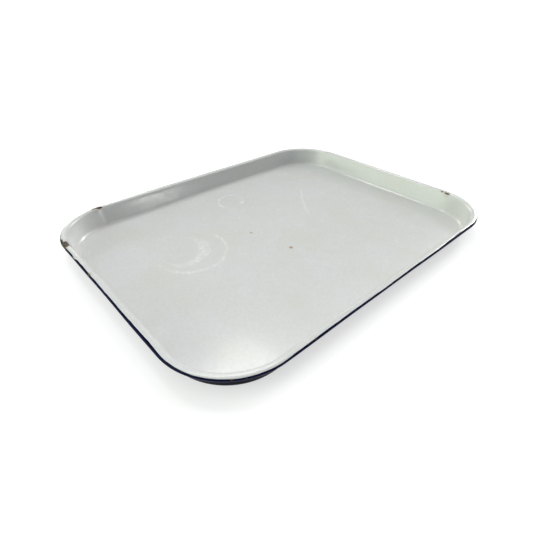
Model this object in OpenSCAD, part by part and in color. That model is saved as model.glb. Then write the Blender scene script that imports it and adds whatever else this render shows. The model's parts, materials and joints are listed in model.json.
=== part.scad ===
// Enamelled steel tray: one pressed sheet with a rolled rim, carrying four
// layers of vitreous enamel. Origin at the centre of the resting face, +Z up,
// long side along X.

/* [Tray] */
// Length over the rolled rim
tray_l = 410; // [300:5:520]
// Width over the rolled rim
tray_w = 310; // [220:5:420]
// Height from the resting face to the top of the rim
tray_h = 23; // [18:1:40]
// Outer radius of the corners in plan
corner_r = 64; // [40:1:90]
// Lean of the walls from the vertical, in degrees
wall_lean = 15; // [5:1:20]
// Radius between floor and wall, on the enamelled inside
fillet_r = 4.5; // [3:0.5:6]

/* [Rim] */
// Radius of the rolled edge, enamel included
curl_r = 2.2; // [2:0.1:3]
// Radius where the wall turns into the lip, enamel included
shoulder_r = 3; // [1.6:0.1:4]
// Flat width of the lip between shoulder and roll
lip_flat = 1.6; // [1:0.2:6]
// How far the edge is rolled round, in degrees from the top
curl_turn = 205; // [180:5:225]
// Where the blue band takes over from the white, in degrees from the top
band_start = 32; // [10:2:60]

/* [Layers] */
// Pressed steel sheet
steel_t = 0.8; // [0.6:0.1:1]
// Ground coat between the steel and the cover coats
ground_t = 0.1; // [0.1:0.05:0.2]
// White cover coat, and the blue band, which is as thick
cover_t = 0.25; // [0.1:0.05:0.3]
// Dark coat on the outside and underside
outer_t = 0.2; // [0.1:0.05:0.3]

/* [Hidden] */
$fn = 96;

// The corners turn about these plan centres, and the section is drawn with
// its x measured outwards from them.
centre_x = tray_l / 2 - corner_r;
centre_y = tray_w / 2 - corner_r;

// Enamel on the steel's face, the side that shows from inside and above.
face_t = ground_t + cover_t;
floor_z = outer_t + steel_t;
lip_z = tray_h - face_t;

// Bend radii of the steel's face. The fillet is hollow and the other two are
// round towards the enamel.
fillet_face = fillet_r + face_t;
shoulder_face = shoulder_r - face_t;
curl_face = curl_r - face_t;

// Centres of the three bends in the section, from the edge inwards.
curl_c = [corner_r - curl_r, lip_z - curl_face];
shoulder_c = [curl_c[0] - lip_flat, lip_z - shoulder_face];
wall_len = (shoulder_c[1] - floor_z - fillet_face
            + (fillet_face + shoulder_face) * sin(wall_lean)) / cos(wall_lean);
fillet_c = [shoulder_c[0] - (fillet_face + shoulder_face) * cos(wall_lean)
            - wall_len * sin(wall_lean), floor_z + fillet_face];

// The wall's outward normal.
wall_n = [cos(wall_lean), -sin(wall_lean)];

// A bend's circle is this much over size, so that it crosses the straight
// lines that it rounds off instead of only touching them.
bite = 0.002;

// The section is drawn in two halves that meet here, midway along the lip.
seam_x = curl_c[0] - lip_flat / 2;

// Room drawn beyond the section by the shapes that trim it.
reach = 8;

// How far the room between the walls is drawn past the lip, to run into the
// room above it.
overlap = 0.2;

// Direction in the section at an angle counted from the top of the roll.
function from_top(angle) = [sin(angle), cos(angle)];

// Where the wall's line, o off the steel's face, stands at height z.
function wall_x(o, z) = fillet_c[0] + (fillet_face + o) / cos(wall_lean)
    + (z - fillet_c[1]) * tan(wall_lean);

// The corner at c between directions a and b, outside or inside its bend.
module corner(c, a, b) {
    translate(c) polygon([[0, 0], reach * a, reach * (a + b), reach * b]);
}

// The hollow of the tray, grown by o from the steel's face: everything above
// the floor, inside the wall and over the lip as far as seam_x.
module hollow(o) {
    low = floor_z - o;
    lip = lip_z - o;
    high = lip + overlap;
    difference() {
        polygon([[0, low], [wall_x(o, low), low], [wall_x(o, high), high], [0, high]]);
        difference() {
            corner(fillet_c, [0, -1], wall_n);
            translate(fillet_c) circle(r = fillet_face + o + bite);
        }
    }
    translate([0, lip]) square([seam_x, reach]);
    difference() {
        corner(shoulder_c, [0, 1], -wall_n);
        translate(shoulder_c) circle(r = shoulder_face - o + bite);
    }
}

// The roll and the lip beside it as one filled shape, o inside the steel's face.
module filled_roll(o) {
    translate(curl_c) circle(r = curl_face - o + bite);
    translate([curl_c[0] - reach, curl_c[1]]) square([reach, curl_face - o]);
}

// All that lies beyond an angle of the roll, up to the end of its turn.
module beyond(angle) {
    translate(curl_c)
        polygon([[0, 0], reach * from_top(angle), [2 * reach, reach], [2 * reach, -2 * reach],
                 2 * reach * from_top(curl_turn)]);
}

// The half of the section outside the seam, up to the end of the turn.
module outer_half() {
    beyond(0);
    translate([seam_x, curl_c[1]]) square([curl_c[0] - seam_x, reach]);
}

// Section of a layer that lies from lo to hi off the steel's face, counted
// towards the outside.
module layer(lo, hi) {
    difference() {
        hollow(hi);
        hollow(lo);
    }
    intersection() {
        difference() {
            filled_roll(lo);
            filled_roll(hi);
        }
        outer_half();
    }
}

// Sweeps a section round the plan outline: four corners and four sides.
module around() {
    corners = [[centre_x, centre_y, 0], [-centre_x, centre_y, 90],
               [-centre_x, -centre_y, 180], [centre_x, -centre_y, 270]];
    for (c = corners)
        translate([c[0], c[1], 0]) rotate(c[2]) rotate_extrude(angle = 90) children();
    sides = [[centre_x, centre_y, 0], [centre_y, centre_x, 90],
             [centre_x, centre_y, 180], [centre_y, centre_x, 270]];
    for (s = sides)
        rotate(s[2]) translate([s[0], s[1], 0]) rotate([90, 0, 0])
            linear_extrude(2 * s[1]) children();
}

// Fills the floor inside the four corner centres, for the layer from lo to hi.
module floor_plate(lo, hi) {
    translate([-centre_x, -centre_y, floor_z - hi])
        cube([2 * centre_x, 2 * centre_y, hi - lo]);
}

// The sheet itself, rolled round at the rim to a hollow bead.
module steel_pan() {
    color("#6f6a63") {
        around() layer(0, steel_t);
        floor_plate(0, steel_t);
    }
}

// Thin dark coat on the steel's face, under the white and the blue.
module ground_coat() {
    color("#20242c") {
        around() layer(-ground_t, 0);
        floor_plate(-ground_t, 0);
    }
}

// White over the floor, the walls and the lip, up to the blue band.
module white_coat() {
    color("#dfe1de") {
        around() difference() {
            layer(-face_t, -ground_t);
            beyond(band_start);
        }
        floor_plate(-face_t, -ground_t);
    }
}

// Cobalt blue round the rolled edge, from the white to the end of the roll.
module blue_rim_band() {
    color("#0b1036")
        around() intersection() {
            layer(-face_t, -ground_t);
            beyond(band_start);
        }
}

// Blue-black coat on the underside, the outer wall and the inside of the roll.
module outer_coat() {
    color("#0a0c18") {
        around() layer(steel_t, steel_t + outer_t);
        floor_plate(steel_t, steel_t + outer_t);
    }
}

steel_pan();
ground_coat();
white_coat();
blue_rim_band();
outer_coat();
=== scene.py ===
"""Enamelled developing tray: smooth enamel coats over a pressed steel pan.

The CAD coats are replaced by finer shells swept along the same section and
outline, with a wavering blue edge and real chips. Lengths are in metres.
"""
import json
import math

import bmesh
import bpy
import numpy as np
from mathutils import Matrix, Vector, noise

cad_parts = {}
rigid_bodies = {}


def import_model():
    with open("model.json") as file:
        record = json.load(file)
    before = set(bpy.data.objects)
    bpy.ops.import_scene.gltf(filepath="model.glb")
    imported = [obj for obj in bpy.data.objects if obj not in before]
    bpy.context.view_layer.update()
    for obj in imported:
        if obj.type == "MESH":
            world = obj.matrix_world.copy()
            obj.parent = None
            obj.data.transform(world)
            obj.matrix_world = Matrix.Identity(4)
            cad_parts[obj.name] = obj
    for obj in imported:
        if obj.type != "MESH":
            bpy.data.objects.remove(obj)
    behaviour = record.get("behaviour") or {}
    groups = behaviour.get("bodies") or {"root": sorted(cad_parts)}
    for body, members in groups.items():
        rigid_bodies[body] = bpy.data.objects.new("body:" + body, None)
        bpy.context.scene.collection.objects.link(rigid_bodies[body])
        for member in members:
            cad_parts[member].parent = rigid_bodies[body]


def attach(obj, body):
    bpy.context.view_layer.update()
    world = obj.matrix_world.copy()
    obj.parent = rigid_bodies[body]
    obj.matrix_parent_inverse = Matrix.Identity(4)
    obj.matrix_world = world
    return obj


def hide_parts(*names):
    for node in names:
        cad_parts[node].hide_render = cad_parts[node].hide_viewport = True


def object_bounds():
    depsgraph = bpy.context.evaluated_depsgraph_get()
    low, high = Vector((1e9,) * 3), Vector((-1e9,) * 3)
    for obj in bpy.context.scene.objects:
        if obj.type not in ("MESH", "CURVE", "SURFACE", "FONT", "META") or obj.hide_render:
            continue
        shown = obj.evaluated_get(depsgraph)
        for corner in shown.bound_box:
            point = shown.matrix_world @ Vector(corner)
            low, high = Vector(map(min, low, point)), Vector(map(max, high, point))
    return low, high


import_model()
cad_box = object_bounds()

MM = 0.001

# ---------------------------------------------------------------- dimensions
# The overall sizes come from the frame. The rest repeats the CAD's section.
low_corner, high_corner = (Vector(c) for c in cad_box)
TRAY_L = high_corner.x - low_corner.x
TRAY_W = high_corner.y - low_corner.y
TRAY_H = high_corner.z
CORNER_R = 64 * MM
WALL_LEAN = math.radians(15)
FILLET_R = 4.5 * MM
CURL_R = 2.2 * MM
SHOULDER_R = 3 * MM
LIP_FLAT = 1.6 * MM
CURL_TURN = math.radians(205)
BAND_START = math.radians(32)
STEEL_T = 0.8 * MM
GROUND_T = 0.1 * MM
COVER_T = 0.25 * MM
OUTER_T = 0.2 * MM

FACE_T = GROUND_T + COVER_T
FLOOR_Z = OUTER_T + STEEL_T
LIP_Z = TRAY_H - FACE_T
FILLET_FACE = FILLET_R + FACE_T
SHOULDER_FACE = SHOULDER_R - FACE_T
CURL_FACE = CURL_R - FACE_T
CENTRE_X = TRAY_L / 2 - CORNER_R
CENTRE_Y = TRAY_W / 2 - CORNER_R

# Centres of the section's bends: x from the corner's centre outwards, then z.
CURL_C = np.array([CORNER_R - CURL_R, LIP_Z - CURL_FACE])
SHOULDER_C = np.array([CURL_C[0] - LIP_FLAT, LIP_Z - SHOULDER_FACE])
BENDS = FILLET_FACE + SHOULDER_FACE
RISE = SHOULDER_C[1] - FLOOR_Z - FILLET_FACE
WALL_LEN = (RISE + BENDS * math.sin(WALL_LEAN)) / math.cos(WALL_LEAN)
WALL_RUN = BENDS * math.cos(WALL_LEAN) + WALL_LEN * math.sin(WALL_LEAN)
FILLET_C = np.array([SHOULDER_C[0] - WALL_RUN, FLOOR_Z + FILLET_FACE])
WALL_N = np.array([math.cos(WALL_LEAN), -math.sin(WALL_LEAN)])
DOWN = np.array([0.0, -1.0])

# The sheet is a little out of true: height of its waves over the floor, and
# sideways sway of its rim.
FLOOR_WARP = 0.15 * MM
RIM_SWAY = 0.2 * MM

# Points along each stretch of the section: floor, fillet, wall, shoulder, lip.
# Then round the roll: the white's part, the blue's, and the whole of it.
PAN_COUNTS = (14, 10, 6, 8, 4)
WHITE_ROLL_COUNT = 5
BLUE_ROLL_COUNT = 20
WHOLE_ROLL_COUNT = 24


# ------------------------------------------------------------------- section
def straight(start, end, normal, count):
    """Points from start up to, but not including, end, with one normal."""
    steps = np.arange(count)[:, None] / count
    return start + (end - start) * steps, np.tile(normal, (count, 1))


def bend(centre, radius, first, last, count, hollow):
    """Points round a bend up to, but not including, its last angle. Normals
    point to the tray's outside: out of a hollow bend, into a round one."""
    angles = first + (last - first) * np.arange(count) / count
    rays = np.stack([np.cos(angles), np.sin(angles)], axis=1)
    return centre + radius * rays, rays if hollow else -rays


def pan_rows():
    """The steel's face from a corner's centre out to the top of the roll."""
    floor, fillet, wall, shoulder, lip = PAN_COUNTS
    parts = [
        straight(np.array([0, FLOOR_Z]), FILLET_C + FILLET_FACE * DOWN, DOWN, floor),
        bend(FILLET_C, FILLET_FACE, -math.pi / 2, -WALL_LEAN, fillet, True),
        straight(FILLET_C + FILLET_FACE * WALL_N, SHOULDER_C - SHOULDER_FACE * WALL_N, WALL_N, wall),
        bend(SHOULDER_C, SHOULDER_FACE, math.pi - WALL_LEAN, math.pi / 2, shoulder, False),
        straight(SHOULDER_C - SHOULDER_FACE * DOWN, CURL_C - CURL_FACE * DOWN, DOWN, lip),
    ]
    return [np.concatenate(column) for column in zip(*parts)]


def roll_rows(first, last, count):
    """The steel's face round the roll at each station, between two lists of
    angles from the top, both ends included."""
    share = np.linspace(0, 1, count + 1)[None, :]
    angles = first[:, None] + (last - first)[:, None] * share
    rays = np.stack([np.sin(angles), np.cos(angles)], axis=2)
    return CURL_C + CURL_FACE * rays, -rays


def joined(rows, roll):
    """The section's rows and those of the roll as one run."""
    return [np.concatenate(pair, axis=1) for pair in zip(rows, roll)]


# ------------------------------------------------------------------- outline
class Outline:
    """The sections round the tray, counter-clockwise from the +X+Y corner."""

    def __init__(self, spacing):
        self.nx = round(2 * CENTRE_X / spacing)
        self.ny = round(2 * CENTRE_Y / spacing)
        per_corner = round(CORNER_R * math.pi / 2 / spacing)
        signs = [(1, 1), (-1, 1), (-1, -1), (1, -1)]
        origins, headings = [], []
        for i, sign in enumerate(signs):
            here = np.array(sign) * [CENTRE_X, CENTRE_Y]
            there = np.array(signs[(i + 1) % 4]) * [CENTRE_X, CENTRE_Y]
            count = self.ny if i % 2 else self.nx
            for k in range(per_corner):
                origins.append(here)
                headings.append(math.pi / 2 * (i + k / per_corner))
            for k in range(count):
                origins.append(here + (there - here) * k / count)
                headings.append(math.pi / 2 * (i + 1))
        self.origins = np.array(origins)
        self.outward = np.stack([np.cos(headings), np.sin(headings)], axis=1)
        edge = self.origins + CORNER_R * self.outward
        step = np.linalg.norm(np.roll(edge, -1, axis=0) - edge, axis=1)
        self.length = step.sum()
        self.running = np.cumsum(step) - step

    def spread(self, rows):
        """The same points and normals at every station."""
        points, normals = rows
        count = len(self.origins)
        return np.tile(points, (count, 1, 1)), np.tile(normals, (count, 1, 1))

    def place(self, points, normals, offset):
        """Row-frame points of a section grid, moved off the steel's face."""
        flat = points + offset * normals
        plan = self.origins[:, None, :] + self.outward[:, None, :] * flat[:, :, :1]
        return np.concatenate([plan, flat[:, :, 1:]], axis=2)

    def floor_index(self):
        """For each station, the cell corner of the inner floor that it starts at."""
        column = np.rint((self.origins[:, 0] / CENTRE_X + 1) / 2 * self.nx).astype(int)
        row = np.rint((self.origins[:, 1] / CENTRE_Y + 1) / 2 * self.ny).astype(int)
        return row * (self.nx + 1) + column


def warped(points):
    """The sheet's waves, which every layer follows alike. Each sine has its
    length over 2 pi, in metres, and its phase."""
    x, y, z = points[:, 0], points[:, 1], points[:, 2]
    waves = np.sin(x / 0.047 + 1.1) * np.sin(y / 0.039 + 0.4) + 0.4 * np.sin(x / 0.019 - y / 0.023)
    height = np.clip(z / TRAY_H, 0, 1) ** 2
    sway_x = np.sin(y / 0.031 + 0.8) + 0.5 * np.sin(y / 0.013 + 2.0)
    sway_y = np.sin(x / 0.036 + 2.2) + 0.5 * np.sin(x / 0.015 + 0.3)
    out = points.copy()
    out[:, 0] += RIM_SWAY * height * sway_x
    out[:, 1] += RIM_SWAY * height * sway_y
    out[:, 2] += FLOOR_WARP * (1 - height) * (1.4 + waves) / 2
    return out


def strip_faces(index, flip):
    """Quads between neighbouring stations and rows, or triangles where two
    stations share their first point."""
    after = np.roll(index, -1, axis=0)
    quads = np.stack([index[:, :-1], index[:, 1:], after[:, 1:], after[:, :-1]], axis=2)
    quads = quads.reshape(-1, 4)
    if flip:
        quads = quads[:, ::-1]
    return [tuple(dict.fromkeys(q)) for q in quads.tolist()]


def floor_grid(outline, offset, base, flip):
    """Points and quads of the flat floor between the corners' centres. The
    quads count points from base."""
    nx, ny = outline.nx, outline.ny
    across, along = np.meshgrid(np.linspace(-CENTRE_X, CENTRE_X, nx + 1),
                                np.linspace(-CENTRE_Y, CENTRE_Y, ny + 1))
    level = np.full(across.size, FLOOR_Z - offset)
    points = np.stack([across.ravel(), along.ravel(), level], axis=1)
    cells = np.arange(len(points)).reshape(ny + 1, nx + 1) + base
    quads = np.stack([cells[:-1, :-1], cells[:-1, 1:], cells[1:, 1:], cells[1:, :-1]], axis=2)
    quads = quads.reshape(-1, 4)
    return points, [tuple(q) for q in (quads[:, ::-1] if flip else quads).tolist()]


def shell(name, outline, rows, inner, outer, with_floor):
    """A closed coat between two offsets from the steel's face."""
    vertices, faces, edges = [], [], []
    for offset, flip in ((inner, False), (outer, True)):
        base = sum(len(v) for v in vertices)
        grid = outline.place(*rows, offset)
        if with_floor:
            floor, quads = floor_grid(outline, offset, base, flip)
            faces += quads
            grid = grid[:, 1:]
            vertices.append(floor)
        stations, width = grid.shape[:2]
        vertices.append(grid.reshape(-1, 3))
        index = np.arange(stations * width).reshape(stations, width)
        if with_floor:
            index = np.concatenate([outline.floor_index()[:, None], index + len(floor)], axis=1)
        index = index + base
        faces += strip_faces(index, flip)
        edges.append(index)
    upper, lower = edges
    rims = [(upper[:, -1], lower[:, -1])] + ([] if with_floor else [(lower[:, 0], upper[:, 0])])
    for near, far in rims:
        loop = np.stack([np.roll(near, -1), near, far, np.roll(far, -1)], axis=1)
        faces += [tuple(q) for q in loop.tolist()]
    mesh = bpy.data.meshes.new(name)
    mesh.from_pydata(warped(np.concatenate(vertices)).tolist(), [], faces)
    mesh.validate()
    piece = bpy.data.objects.new(name, mesh)
    bpy.context.scene.collection.objects.link(piece)
    return piece


SHARP_ANGLE = math.radians(28)


def finish_mesh(piece):
    """Smooth shading that keeps the layer's edges and the chips crisp."""
    piece.data.polygons.foreach_set("use_smooth", [True] * len(piece.data.polygons))
    piece.data.set_sharp_from_angle(angle=SHARP_ANGLE)


# ----------------------------------------------------------------- blue edge
# Waves of the blue edge: how many go round the tray, degrees, phase.
EDGE_WAVES = [(7, 3.0, 0.6), (19, 2.6, 2.1), (43, 1.8, 4.0), (97, 1.1, 1.3), (151, 0.7, 5.2)]
# Where the white runs further down the roll: plan position, half width, degrees.
WHITE_RUNS = [(-203.5, 65.0, 3.2, 42), (-203.0, -60.0, 40.0, -27), (-178.0, -141.0, 34.0, 22),
              (-203.0, 32.0, 42.0, -16), (-25.0, -154.0, 28.0, 12), (115.0, -153.0, 50.0, -22),
              (203.0, -122.0, 22.0, -18)]


def edge_angles(outline):
    """Where the hand-applied blue meets the white at each station, in angles
    from the top of the roll."""
    turn = 2 * math.pi * outline.running / outline.length
    degrees = sum(size * np.sin(count * turn + phase) for count, size, phase in EDGE_WAVES)
    edge = outline.origins + CORNER_R * outline.outward
    for x, y, half_width, down in WHITE_RUNS:
        away = np.linalg.norm(edge - np.array([x, y]) * MM, axis=1) / (half_width * MM)
        degrees += down * np.exp(-away ** 2)
    return BAND_START + np.radians(degrees)


# --------------------------------------------------------------------- chips
# Each chip: plan position on the rim, degrees down the roll (0 on the lip,
# negative down the shoulder), half sizes along the rim, across it and into it,
# and a seed for its outline.
CHIPS = {
    "corner_knock": (-200.9, 94.5, 0, 6.2, 4.7, 2.4, 3),
    "corner_knock_side": (-204.0, 93.5, 60, 7.4, 3.4, 2.0, 11),
    "corner_crack": (-203.0, 102.5, 20, 4.5, 0.9, 0.9, 17),
    "far_edge": (-144.9, 149.9, -28, 3.3, 1.8, 1.3, 7),
    "far_edge_lobe": (-149.8, 151.6, -6, 4.6, 1.1, 1.0, 19),
    "short_side": (-203.9, 30.5, 42, 2.3, 1.7, 1.0, 23),
    "shoulder_a": (199.2, -90.2, -40, 1.9, 1.5, 0.42, 31),
    "shoulder_b": (198.6, -97.2, -44, 3.7, 1.7, 0.42, 37),
    "near_corner_a": (-179.5, -143.5, 80, 1.3, 0.6, 0.6, 41),
    "near_corner_b": (-171.3, -149.5, 75, 1.0, 0.6, 0.6, 43),
    "long_side": (-110.5, -155.0, 60, 1.6, 0.6, 0.6, 47),
}
# Size of a chip's hole in the ground coat, as a share of the hole over it.
GROUND_SHARE = 0.82
# Raggedness of a chip: its depth, how fine it is, and the fractal's exponent,
# lacunarity and octaves.
RAGGED_DEPTH = 0.34
RAGGED_FINENESS = 1.3
RAGGED_FRACTAL = (0.9, 2.1, 5)


def rim_frame(x, y, down_roll):
    """A point on the enamel of the rim with its outward normal, the direction
    along the rim and the direction across it."""
    plan = np.array([x, y]) * MM
    origin = np.clip(plan, [-CENTRE_X, -CENTRE_Y], [CENTRE_X, CENTRE_Y])
    reach = np.linalg.norm(plan - origin)
    outward = Vector((*((plan - origin) / reach), 0))
    angle = math.radians(down_roll)
    flat, height = reach, TRAY_H
    if down_roll:
        bend_c, radius = (CURL_C, CURL_R) if down_roll > 0 else (SHOULDER_C, SHOULDER_R)
        flat = bend_c[0] + radius * math.sin(angle)
        height = bend_c[1] + radius * math.cos(angle)
    up = Vector((0, 0, 1))
    normal = outward * math.sin(angle) + up * math.cos(angle)
    centre = Vector((*origin, 0)) + outward * flat + up * height
    along = up.cross(outward)
    return centre, normal, along, normal.cross(along)


def pebble(chip, share):
    """A ragged pebble that takes one chip out of the coats."""
    x, y, down_roll, half_along, half_across, half_deep, seed = chip
    centre, normal, along, across = rim_frame(x, y, down_roll)
    bm = bmesh.new()
    bmesh.ops.create_icosphere(bm, subdivisions=4, radius=1.0)
    for vertex in bm.verts:
        ray = vertex.co.normalized()
        ragged = noise.fractal(ray * RAGGED_FINENESS + Vector((seed, 0, 0)), *RAGGED_FRACTAL)
        reach = 1 + RAGGED_DEPTH * ragged
        a, b, c = (r * reach * size * MM for r, size in
                   zip(ray, (half_along * share, half_across * share, half_deep)))
        vertex.co = centre + along * a + across * b + normal * c
    mesh = bpy.data.meshes.new("pebble")
    bm.to_mesh(mesh)
    bm.free()
    return bpy.data.objects.new("pebble", mesh)


def cut_chips(piece, share):
    """Takes the chips out of a coat."""
    pebbles = bpy.data.collections.new("pebbles")
    bpy.context.scene.collection.children.link(pebbles)
    for chip in CHIPS.values():
        pebbles.objects.link(pebble(chip, share))
    cut = piece.modifiers.new("chips", "BOOLEAN")
    cut.operation = "DIFFERENCE"
    cut.solver = "EXACT"
    cut.operand_type = "COLLECTION"
    cut.collection = pebbles
    bpy.context.view_layer.update()
    evaluated = piece.evaluated_get(bpy.context.evaluated_depsgraph_get())
    mesh = bpy.data.meshes.new_from_object(evaluated)
    piece.modifiers.clear()
    old = piece.data
    piece.data = mesh
    bpy.data.meshes.remove(old)
    mesh.name = piece.name
    for tool in list(pebbles.objects):
        bpy.data.meshes.remove(tool.data)
    bpy.data.collections.remove(pebbles)


# ----------------------------------------------------------------- materials
class Graph:
    """Shader nodes built from short calls."""

    def __init__(self, owner, shader, output):
        owner.use_nodes = True
        self.owner = owner
        self.tree = owner.node_tree
        self.tree.nodes.clear()
        self.shader = self.node(shader)
        self.tree.links.new(self.shader.outputs[0], self.node(output).inputs[0])

    def node(self, kind, **settings):
        made = self.tree.nodes.new(kind)
        for key, value in settings.items():
            setattr(made, key, value)
        return made

    def feed(self, socket, value):
        if isinstance(value, bpy.types.NodeSocket):
            self.tree.links.new(value, socket)
        else:
            socket.default_value = value

    def math(self, operation, *values):
        made = self.node("ShaderNodeMath", operation=operation)
        for socket, value in zip(made.inputs, values):
            self.feed(socket, value)
        return made.outputs[0]

    def plus(self, first, second):
        return self.math("ADD", first, second)

    def minus(self, first, second):
        return self.math("SUBTRACT", first, second)

    def times(self, *values):
        out = values[0]
        for value in values[1:]:
            out = self.math("MULTIPLY", out, value)
        return out

    def most(self, values):
        """The largest of several values."""
        out = values[0]
        for value in values[1:]:
            out = self.math("MAXIMUM", out, value)
        return out

    def vector(self, operation, *values):
        made = self.node("ShaderNodeVectorMath", operation=operation)
        for socket, value in zip(made.inputs, values):
            self.feed(socket, value)
        return made.outputs["Value" if operation in ("DOT_PRODUCT", "DISTANCE") else "Vector"]

    def scaled(self, vector, scale):
        made = self.node("ShaderNodeVectorMath", operation="SCALE")
        self.feed(made.inputs["Vector"], vector)
        self.feed(made.inputs["Scale"], scale)
        return made.outputs["Vector"]

    def ramp(self, value, low, high, to_low=0.0, to_high=1.0):
        """value from low to high, eased, becomes to_low to to_high."""
        made = self.node("ShaderNodeMapRange", interpolation_type="SMOOTHSTEP")
        for socket, v in zip(made.inputs, (value, low, high, to_low, to_high)):
            self.feed(socket, v)
        return made.outputs[0]

    def mix(self, factor, first, second):
        made = self.node("ShaderNodeMix", data_type="RGBA")
        self.feed(made.inputs["Factor"], factor)
        for socket, value in zip((made.inputs["A"], made.inputs["B"]), (first, second)):
            self.feed(socket, (*value, 1) if isinstance(value, tuple) else value)
        return made.outputs["Result"]

    def finish(self, **sockets):
        for name, value in sockets.items():
            self.feed(self.shader.inputs[name.replace("_", " ")], value)
        return self.owner


class Surface(Graph):
    """A material's nodes. Lengths are in millimetres."""

    def __init__(self, name):
        super().__init__(bpy.data.materials.new(name), "ShaderNodeBsdfPrincipled",
                         "ShaderNodeOutputMaterial")
        self.place = self.scaled(self.node("ShaderNodeTexCoord").outputs["Object"], 1 / MM)

    def height(self):
        """Height over the resting face."""
        return self.vector("DOT_PRODUCT", self.place, (0, 0, 1))

    def noise(self, size, detail=3.0, place=None, roughness=0.5):
        """Cloudy noise from 0 to 1 whose blotches are about size across."""
        made = self.node("ShaderNodeTexNoise")
        self.feed(made.inputs["Vector"], place or self.place)
        made.inputs["Scale"].default_value = 1 / size
        made.inputs["Detail"].default_value = detail
        made.inputs["Roughness"].default_value = roughness
        return made.outputs["Fac"]

    def wobble(self, size, swing):
        """A noise that swings about 0, to make an outline uneven."""
        return self.times(self.minus(self.noise(size, 3), 0.5), swing)

    def stretched(self, angle, along, across):
        """The place turned about Z and squeezed, for streaks along angle."""
        made = self.node("ShaderNodeMapping", vector_type="TEXTURE")
        self.feed(made.inputs["Vector"], self.place)
        made.inputs["Rotation"].default_value = (0, 0, math.radians(angle))
        made.inputs["Scale"].default_value = (along, across, across)
        return made.outputs[0]

    def near(self, x, y, z=None):
        """Distance from a place, in plan where z is left out."""
        if z is None:
            return self.vector("DISTANCE", self.vector("MULTIPLY", self.place, (1, 1, 0)), (x, y, 0))
        return self.vector("DISTANCE", self.place, (x, y, z))

    def blot(self, away, radius, core):
        """1 within core of a place and 0 beyond radius of it."""
        return self.ramp(away, radius, core)

    def bump(self, height, depth):
        """depth is how far a height of 1 stands up."""
        made = self.node("ShaderNodeBump")
        made.inputs["Strength"].default_value = 1.0
        made.inputs["Distance"].default_value = depth * MM
        self.feed(made.inputs["Height"], height)
        return made.outputs[0]


def ring_mark(g, x, y, radius, width, side_x, side_y, wobble):
    """A faint ring left by the foot of something that stood in the tray,
    strongest towards one side."""
    away = g.plus(g.near(x, y), wobble)
    line = g.ramp(g.math("ABSOLUTE", g.minus(away, radius)), width, 0.0)
    from_centre = g.vector("SUBTRACT", g.place, (x, y, 0))
    side = g.vector("DOT_PRODUCT", from_centre, (side_x / radius, side_y / radius, 0))
    return g.times(line, g.ramp(side, -0.6, 0.5))


def crescent_mark(g, x, y, radius, shift_x, shift_y, wobble):
    """A disc with a shifted disc taken out of it."""
    disc = g.blot(g.plus(g.near(x, y), wobble), radius, radius - 4)
    beyond = g.ramp(g.plus(g.near(x + shift_x, y + shift_y), wobble), radius - 3, radius + 1)
    return g.times(disc, beyond)


def scratches(g, angle, spacing, seed):
    """Hair-thin scratches in one direction, broken up along their length."""
    lines = g.noise(1.0, 1.0, g.stretched(angle, SCRATCH_LENGTH, spacing))
    thin = g.ramp(g.math("ABSOLUTE", g.minus(lines, 0.5)), 0.012, 0.002)
    where = g.noise(23.0, 2.0, g.vector("ADD", g.place, (seed, 0, 0)))
    return g.times(thin, g.ramp(where, 0.52, 0.66))


def specks(g, spacing, radius, share, seed):
    """Scattered round dots: a share of the cells, spacing apart, hold one."""
    made = g.node("ShaderNodeTexVoronoi", feature="F1")
    g.feed(made.inputs["Vector"], g.vector("ADD", g.place, (seed, seed, 0)))
    made.inputs["Scale"].default_value = 1 / spacing
    dot = g.ramp(made.outputs["Distance"], radius / spacing, radius / spacing * 0.4)
    chance = g.vector("DOT_PRODUCT", made.outputs["Color"], (1, 0, 0))
    return g.times(dot, g.math("GREATER_THAN", chance, 1 - share))


# Marks in the well, in millimetres in plan. Rings: place, radius, width and
# the side where they are strongest. Crescents: place, radius, shift of the
# disc taken out. Rust: place, halo, core. Stains: place, radius.
FOOT_RINGS = [(-99.7, 33, 39.5, 3.4, 0.35, -0.95), (8, 95, 20, 2.6, -0.6, 0.8),
              (-104, 38, 27, 1.8, 0.3, -0.9)]
CRESCENTS = [(-108, 38, 31, -8, 8), (12, 94, 13, -4, 4)]
ARC_RUB = (215, -75, 176, 2.2, -1, 1)
ARC_MIDDLE = (80, 38)
RUST_SPOTS = [(-13.7, -33.9, 2.0, 0.9), (-26.4, 18.5, 1.3, 0.6)]
STAINS = [(-91.1, -83.4, 2.6), (-149.8, -70.3, 1.2), (125.2, -18.5, 3.0), (71.3, -44.4, 3.2),
          (121.5, -110.3, 3.0), (-73.9, -49.5, 3.0), (3.4, 113.1, 3.4), (-64.4, -75, 2.0)]

# Scratches: angle in degrees, spacing, seed.
SCRATCH_LENGTH = 26.0
WELL_SCRATCHES = [(14, 1.5, 5), (58, 1.9, 40), (-37, 1.7, 90), (101, 2.3, 140)]
BASE_SCRATCHES = [(5, 1.6, 11), (48, 1.6, 60), (-60, 1.6, 120), (88, 1.6, 170)]

ENAMEL_BUMP = 0.03

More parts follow.
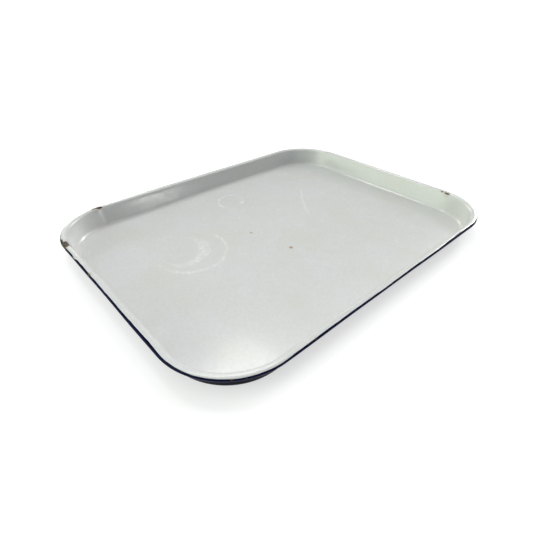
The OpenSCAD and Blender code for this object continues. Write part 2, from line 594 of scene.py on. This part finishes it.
# Colours of the white, of what stains it, of the painted shade darkening its fillet,
# and of the other layers. A dark enamel has its own colour, that of its paler clouds and that of
# worn places.
COOL_WHITE, WARM_WHITE = (0.595, 0.602, 0.604), (0.578, 0.580, 0.556)
MOTTLED_WHITE, GRAINED_WHITE = (0.55, 0.552, 0.535), (0.50, 0.50, 0.485)
RUBBED_WHITE, SCRATCHED_WHITE = (0.70, 0.70, 0.68), (0.40, 0.40, 0.385)
STAIN, RUST_HALO, RUST_CORE = (0.32, 0.31, 0.27), (0.33, 0.19, 0.10), (0.045, 0.022, 0.012)
# FILLET_SHADE here is painted shade for the fillet at the foot of the walls.
PINHOLE, FILLET_SHADE, CHIP_RUST = (0.13, 0.11, 0.09), (0.42, 0.41, 0.37), (0.36, 0.25, 0.15)
NAVY = [(0.0012, 0.0018, 0.017), (0.002, 0.004, 0.036), (0.03, 0.034, 0.06)]
BLUE_BLACK = [(0.002, 0.0025, 0.007), (0.004, 0.005, 0.014), (0.02, 0.02, 0.024)]
SCUFF, REST_WEAR, FLECK = (0.16, 0.16, 0.17), (0.028, 0.028, 0.032), (0.11, 0.12, 0.15)
GROUND_DARK, GROUND_BROWN = (0.012, 0.013, 0.018), (0.055, 0.040, 0.030)
SCALE_DARK, SCALE_BROWN = (0.016, 0.011, 0.008), (0.085, 0.058, 0.038)
RUST_BLOOM, BARE_STEEL = (0.15, 0.098, 0.06), (0.30, 0.27, 0.24)


def blots(g, places, uneven, outer, inner):
    """Spots with uneven outlines. Each place comes with a size, and the spot
    fades between inner and outer times that size."""
    return g.most([g.blot(g.plus(g.near(*place), uneven), size * outer, size * inner)
                   for place, size in places])


def chip_places():
    """Where each chip is, in millimetres, and the larger of its half sizes."""
    return [([c / MM for c in rim_frame(*chip[:3])[0]], max(chip[3:5]))
            for chip in CHIPS.values()]


def foot_marks(g):
    """How far the white is rubbed pale by what stood in the tray."""
    wobble = g.wobble(16, 5.0)
    rings = [ring_mark(g, *ring, wobble) for ring in FOOT_RINGS]
    arc = g.times(ring_mark(g, *ARC_RUB, wobble), g.blot(g.near(*ARC_MIDDLE), 46, 22))
    moons = [g.times(crescent_mark(g, *moon, wobble), 0.8) for moon in CRESCENTS]
    breakup = g.ramp(g.noise(6, 5, roughness=0.75), 0.32, 0.66, 0.15, 1.0)
    return g.times(g.most([*rings, arc, *moons]), breakup)


def fillet_shade(g, mottle):
    """Painted shade: the fillet at the foot of the walls is darkened in patches, where shade falls
    in the crease.
    """
    beyond_sides = [g.minus(g.math("ABSOLUTE", g.vector("DOT_PRODUCT", g.place, axis)), half / MM)
                    for axis, half in (((1, 0, 0), TRAY_L / 2), ((0, 1, 0), TRAY_W / 2))]
    at_wall = g.ramp(g.most(beyond_sides), -20, -14)
    return g.times(g.ramp(g.height(), 5.5, 1.6), at_wall, mottle)


def white_enamel():
    """Old glossy white: a little grey, stained in clouds, scratched, with
    foot rings, pinholes, two rust spots and painted shade in the fillet."""
    g = Surface("white_enamel")
    mottle = g.noise(7, 4, roughness=0.65)
    grain = g.noise(2.4, 4, roughness=0.7)
    uneven = g.wobble(2.2, 2.4)
    rubbed = foot_marks(g)
    hair = g.most([scratches(g, *run) for run in WELL_SCRATCHES])
    stains = blots(g, [((x, y), size) for x, y, size in STAINS], uneven, 1.0, 0.25)
    smudge = g.times(stains, g.ramp(g.noise(3.0, 3), 0.35, 0.62))
    halo = blots(g, [((x, y), size) for x, y, size, _ in RUST_SPOTS], uneven, 1.7, 0.6)
    core = blots(g, [((x, y), size) for x, y, _, size in RUST_SPOTS], uneven, 1.0, 0.5)
    at_chips = blots(g, chip_places(), uneven, 1.5, 0.8)
    dots = specks(g, 17.0, 0.35, 0.35, 3.0)

    colour = g.mix(g.ramp(g.noise(62, 4, roughness=0.6), 0.36, 0.66), COOL_WHITE, WARM_WHITE)
    for share, tint in ((g.ramp(mottle, 0.35, 0.75, 0.0, 0.35), MOTTLED_WHITE),
                        (g.ramp(grain, 0.38, 0.68, 0.0, 0.4), GRAINED_WHITE),
                        (g.times(rubbed, 0.62), RUBBED_WHITE),
                        (g.times(hair, 0.22), SCRATCHED_WHITE),
                        (g.times(smudge, 0.5), STAIN),
                        (g.times(halo, 0.7), RUST_HALO),
                        (core, RUST_CORE),
                        (g.times(dots, 0.75), PINHOLE),
                        # Painted shade darkening the fillet at the foot of the walls.
                        (g.times(fillet_shade(g, mottle), 0.25), FILLET_SHADE),
                        (g.times(at_chips, 0.28), CHIP_RUST)):
        colour = g.mix(share, colour, tint)

    rough = g.plus(g.ramp(mottle, 0.3, 0.75, 0.08, 0.2), g.ramp(grain, 0.45, 0.65, 0.0, 0.1))
    rough = g.plus(rough, g.times(rubbed, 0.12))
    rough = g.plus(rough, g.times(g.most([hair, smudge, core]), 0.3))
    relief = g.plus(g.noise(5.5, 2), g.times(g.noise(24, 2), 3.5))
    relief = g.minus(relief, g.times(hair, 0.12))
    relief = g.minus(relief, g.times(g.most([core, dots]), 0.4))
    return g.finish(Base_Color=colour, Roughness=rough, Normal=g.bump(relief, ENAMEL_BUMP),
                    IOR=1.6)


def dark_enamel(name, base, cloud, worn, wear_size):
    """Glossy dark enamel with faint clouds, dust-fine pits and rubbed places."""
    g = Surface(name)
    rub = g.times(g.ramp(g.noise(wear_size, 5, roughness=0.7), 0.60, 0.74),
                  g.ramp(g.noise(1.6, 3), 0.45, 0.65))
    pits = specks(g, 5.0, 0.18, 0.5, 7.0)
    colour = g.mix(g.ramp(g.noise(11, 3), 0.35, 0.7), base, cloud)
    colour = g.mix(g.times(rub, 0.7), colour, worn)
    colour = g.mix(g.times(pits, 0.5), colour, worn)
    rough = g.plus(g.ramp(g.noise(4, 3), 0.3, 0.7, 0.10, 0.20), g.times(rub, 0.35))
    relief = g.minus(g.times(g.noise(3.2, 2), 1.2), pits)
    return g, colour, rough, relief


def blue_enamel():
    """The navy edge."""
    g, colour, rough, relief = dark_enamel("blue_enamel", *NAVY, wear_size=14)
    return g.finish(Base_Color=colour, Roughness=rough, Normal=g.bump(relief, ENAMEL_BUMP),
                    IOR=1.45, Specular_IOR_Level=0.05)


def outer_enamel():
    """The underside: blue-black, speckled, scuffed where the tray rests."""
    g, colour, rough, relief = dark_enamel("outer_enamel", *BLUE_BLACK, wear_size=30)
    rest = g.times(g.ramp(g.height(), 0.6, 0.1), g.ramp(g.noise(38, 5, roughness=0.65), 0.42, 0.62))
    scuff = g.most([g.times(scratches(g, *run), rest) for run in BASE_SCRATCHES])
    fleck = specks(g, 9.0, 0.55, 0.25, 21.0)
    colour = g.mix(g.times(scuff, 0.8), colour, SCUFF)
    colour = g.mix(g.times(rest, 0.35), colour, REST_WEAR)
    colour = g.mix(g.times(fleck, 0.5), colour, FLECK)
    rough = g.plus(rough, g.times(rest, 0.22))
    return g.finish(Base_Color=colour, Roughness=rough, Normal=g.bump(relief, ENAMEL_BUMP),
                    IOR=1.45, Specular_IOR_Level=0.015)


def ground_enamel():
    """The dark coat that shows as a rough ring round a chip."""
    g = Surface("ground_enamel")
    patch = g.noise(1.4, 4, roughness=0.7)
    colour = g.mix(g.ramp(patch, 0.4, 0.62), GROUND_DARK, GROUND_BROWN)
    rough = g.ramp(patch, 0.3, 0.7, 0.35, 0.8)
    return g.finish(Base_Color=colour, Roughness=rough, Normal=g.bump(patch, 0.12), IOR=1.52)


def rusty_steel():
    """Bare sheet in the chips: brown scale, orange bloom, a few bright places."""
    g = Surface("rusty_steel")
    scale = g.noise(1.5, 6, roughness=0.75)
    bloom = g.noise(3.4, 5, roughness=0.6)
    bare = g.times(g.ramp(g.noise(2.3, 3), 0.55, 0.68), g.ramp(scale, 0.42, 0.56))
    colour = g.mix(g.ramp(scale, 0.32, 0.66), SCALE_DARK, SCALE_BROWN)
    colour = g.mix(g.ramp(bloom, 0.5, 0.72, 0.0, 0.75), colour, RUST_BLOOM)
    colour = g.mix(g.times(bare, 0.8), colour, BARE_STEEL)
    rough = g.minus(g.ramp(scale, 0.3, 0.7, 0.95, 0.7), g.times(bare, 0.35))
    relief = g.plus(scale, g.times(bloom, 0.6))
    return g.finish(Base_Color=colour, Roughness=rough, Metallic=g.times(bare, 0.8),
                    Normal=g.bump(relief, 0.22))


# -------------------------------------------------------------------- pieces
# Distance between stations round the tray, for the coats in sight and for the
# layers between and under them.
FINE_SPACING = 2.2 * MM
COARSE_SPACING = 4.5 * MM


def add_piece(piece, node, material):
    """Hands a finished piece over, in place of the CAD node."""
    finish_mesh(piece)
    piece.data.materials.clear()
    piece.data.materials.append(material)
    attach(piece, "root")
    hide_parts(node)


def build_cover_coats():
    """The white and the blue, which meet along the wavering edge."""
    fine = Outline(FINE_SPACING)
    edge = edge_angles(fine)
    top, end = np.zeros_like(edge), np.full_like(edge, CURL_TURN)
    white_rows = joined(fine.spread(pan_rows()), roll_rows(top, edge, WHITE_ROLL_COUNT))
    white = shell("white_enamel_coat", fine, white_rows, -FACE_T, -GROUND_T, True)
    blue_rows = roll_rows(edge, end, BLUE_ROLL_COUNT)
    blue = shell("blue_enamel_edge", fine, blue_rows, -FACE_T, -GROUND_T, False)
    for coat in (white, blue):
        cut_chips(coat, 1.0)
    add_piece(white, "white_coat", white_enamel())
    add_piece(blue, "blue_rim_band", blue_enamel())


def build_inner_layers():
    """The sheet, the ground coat on its face and the dark coat on its back."""
    coarse = Outline(COARSE_SPACING)
    count = len(coarse.origins)
    rows = joined(coarse.spread(pan_rows()),
                  roll_rows(np.zeros(count), np.full(count, CURL_TURN), WHOLE_ROLL_COUNT))
    ground = shell("ground_enamel_coat", coarse, rows, -GROUND_T, 0.0, True)
    cut_chips(ground, GROUND_SHARE)
    steel = shell("pressed_steel_pan", coarse, rows, 0.0, STEEL_T, True)
    outer = shell("outer_enamel_coat", coarse, rows, STEEL_T, STEEL_T + OUTER_T, True)
    add_piece(ground, "ground_coat", ground_enamel())
    add_piece(steel, "steel_pan", rusty_steel())
    add_piece(outer, "outer_coat", outer_enamel())


# --------------------------------------------------------------- stage, light
STAGE_HALF = 60.0
STAGE_GAP = 0.02 * MM
STAGE_COLOUR = (0.5, 0.5, 0.5)
STAGE_ROUGHNESS = 0.9
STAGE_GLOW = 0.6


def stage_white():
    """Matt and faintly lit from within, so that shadows on it stay pale."""
    material = bpy.data.materials.new("stage_white")
    material.use_nodes = True
    sockets = material.node_tree.nodes["Principled BSDF"].inputs
    sockets["Base Color"].default_value = (*STAGE_COLOUR, 1)
    sockets["Roughness"].default_value = STAGE_ROUGHNESS
    sockets["Emission Color"].default_value = (1, 1, 1, 1)
    sockets["Emission Strength"].default_value = STAGE_GLOW
    return material


def build_stage():
    """A wide white floor just under the tray."""
    mesh = bpy.data.meshes.new("stage_floor")
    corners = [(x * STAGE_HALF, y * STAGE_HALF, 0)
               for x, y in ((-1, -1), (1, -1), (1, 1), (-1, 1))]
    mesh.from_pydata(corners, [], [(0, 1, 2, 3)])
    mesh.materials.append(stage_white())
    floor = bpy.data.objects.new("stage_floor", mesh)
    floor.location.z = -STAGE_GAP
    bpy.context.scene.collection.objects.link(floor)


def direction(azimuth, elevation):
    """Unit vector to a place round the tray. Azimuth 0 is behind it, at +Y,
    and 90 at its right, at +X."""
    a, e = math.radians(azimuth), math.radians(elevation)
    return Vector((math.sin(a) * math.cos(e), math.cos(a) * math.cos(e), math.sin(e)))


# The room: a dim sky, dimmer in front, with soft lights in it. Each light is
# azimuth, elevation, half width in degrees, brightness. The wide ones light
# the tray and the narrow bright ones are mirrored in its bends.
SKY_HORIZON = (0.25, 0.265, 0.28)
SKY_ZENITH = (0.25, 0.26, 0.27)
SKY_FRONT_SHARE = 0.8
SKY_LIGHTS = [(-110, 76, 29, (1.8, 1.8, 1.8)), (38, 53, 8, (5.8, 5.8, 5.7)),
              (-74, 13, 40, (2.6, 2.9, 2.4)), (96, 23, 26, (3.6, 3.6, 3.6)),
              (84, 25, 10, (18.0, 18.0, 18.0)), (12, 63, 10, (13.0, 13.0, 13.0)),
              (15, 15, 10, (18.0, 18.0, 18.0)), (95, 58, 13, (2.5, 2.5, 2.5)),
              (157, 3, 4, (9.0, 9.0, 9.0)), (-116, 4, 3, (16.0, 16.0, 16.0))]
# What shows behind the floor, in place of the lights themselves.
BACKDROP = (1.0, 1.0, 1.0)


def build_world():
    """A pale room that lights the tray, seen as a plain backdrop."""
    world = bpy.data.worlds.new("pale_room")
    g = Graph(world, "ShaderNodeBackground", "ShaderNodeOutputWorld")
    towards = g.node("ShaderNodeTexCoord").outputs["Generated"]
    height = g.vector("DOT_PRODUCT", towards, (0, 0, 1))
    colour = g.mix(g.ramp(height, 0.0, 0.9), SKY_HORIZON, SKY_ZENITH)
    forwards = g.vector("DOT_PRODUCT", towards, (0, -1, 0))
    colour = g.scaled(colour, g.ramp(forwards, 0.0, 0.9, 1.0, SKY_FRONT_SHARE))
    for azimuth, elevation, half_width, glow in SKY_LIGHTS:
        facing = g.vector("DOT_PRODUCT", towards, direction(azimuth, elevation))
        lobe = g.ramp(facing, math.cos(math.radians(half_width)), 1.0)
        colour = g.vector("ADD", colour, g.scaled(glow, lobe))
    seen = g.node("ShaderNodeLightPath").outputs["Is Camera Ray"]
    bpy.context.scene.world = g.finish(Color=g.mix(seen, colour, BACKDROP))
    bpy.context.scene.view_settings.view_transform = "Standard"


# -------------------------------------------------------------------- camera
CAMERA_AZIMUTH = -42.152
CAMERA_ELEVATION = 35.711
CAMERA_ROLL = 0.507
CAMERA_DISTANCE = 356.3 * MM
CAMERA_TARGET = Vector((-76.33, -60.35, 19.8)) * MM
CAMERA_LENS = 25.938
CAMERA_SENSOR = 36
CAMERA_SHIFT = (0.0036, 0.0001)


def build_camera():
    """Looks down at the tray from the front left. The azimuth is counted from
    the front here."""
    camera = bpy.data.objects.new("camera", bpy.data.cameras.new("camera"))
    back = direction(CAMERA_AZIMUTH, CAMERA_ELEVATION)
    back.y = -back.y
    roll = Matrix.Rotation(math.radians(CAMERA_ROLL), 3, "Z")
    turn = back.to_track_quat("Z", "Y").to_matrix() @ roll
    camera.matrix_world = Matrix.Translation(CAMERA_TARGET + back * CAMERA_DISTANCE) @ turn.to_4x4()
    camera.data.lens = CAMERA_LENS
    camera.data.sensor_width = CAMERA_SENSOR
    camera.data.shift_x, camera.data.shift_y = CAMERA_SHIFT
    camera.data.clip_start = 0.01
    bpy.context.scene.collection.objects.link(camera)
    bpy.context.scene.camera = camera


build_camera()
build_cover_coats()
build_inner_layers()
build_stage()
build_world()
